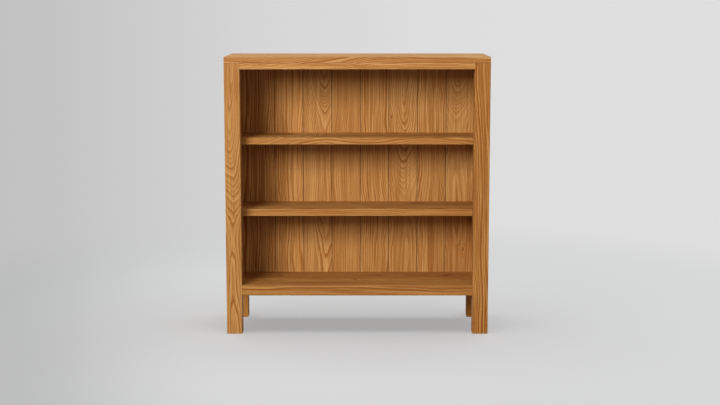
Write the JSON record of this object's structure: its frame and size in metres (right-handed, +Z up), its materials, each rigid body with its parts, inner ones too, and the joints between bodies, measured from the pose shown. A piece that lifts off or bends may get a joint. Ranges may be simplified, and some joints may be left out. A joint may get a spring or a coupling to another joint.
{
  "type": "bookcase",
  "caption": "Low open oak bookcase on square posts, with panelled sides, a back of tongued vertical boards and loose shelves that rest on pins.",
  "frame": {"origin": "on the floor, under the middle of the case", "axes": "+Z up; +Y from the open front to the back; +X to the right, seen from the front"},
  "size_m": [0.85, 0.3, 0.9],
  "materials": {
    "oak_top": "satin oiled oak",
    "oak_posts": "satin oiled oak",
    "oak_rails": "satin oiled oak",
    "oak_panels": "satin oiled oak",
    "oak_back": "satin oiled oak",
    "oak_bottom": "satin oiled oak",
    "oak_shelves": "satin oiled oak",
    "beech_fixings": "bare sanded beech",
    "steel_pins": "nickel plated",
    "steel_screws": "yellow zinc"
  },
  "bodies": {
    "case": {"top_board": "oak_top", "front_left_post": "oak_posts", "front_right_post": "oak_posts", "rear_left_post": "oak_posts", "rear_right_post": "oak_posts", "left_top_rail": "oak_rails", "left_bottom_rail": "oak_rails", "right_top_rail": "oak_rails", "right_bottom_rail": "oak_rails", "front_top_rail": "oak_rails", "front_bottom_rail": "oak_rails", "rear_top_rail": "oak_rails", "rear_bottom_rail": "oak_rails", "left_side_panel": "oak_panels", "right_side_panel": "oak_panels", "back_board_1": "oak_back", "back_board_2": "oak_back", "back_board_3": "oak_back", "back_board_4": "oak_back", "back_board_5": "oak_back", "back_board_6": "oak_back", "back_board_7": "oak_back", "back_board_8": "oak_back", "bottom_board": "oak_bottom", "top_buttons": "beech_fixings", "top_dowels": "beech_fixings", "upper_shelf_pins": "steel_pins", "lower_shelf_pins": "steel_pins", "front_rail_screws": "steel_screws", "button_screws": "steel_screws"},
    "upper_shelf": {"upper_shelf": "oak_shelves"},
    "lower_shelf": {"lower_shelf": "oak_shelves"}
  },
  "joints": [
    {"name": "upper_shelf_lift", "type": "slide", "parent": "case", "child": "upper_shelf", "axis": [0, 0, 1], "range_m": [0, 0.225]},
    {"name": "lower_shelf_lift", "type": "slide", "parent": "case", "child": "lower_shelf", "axis": [0, 0, 1], "range_m": [0, 0.205]}
  ]
}
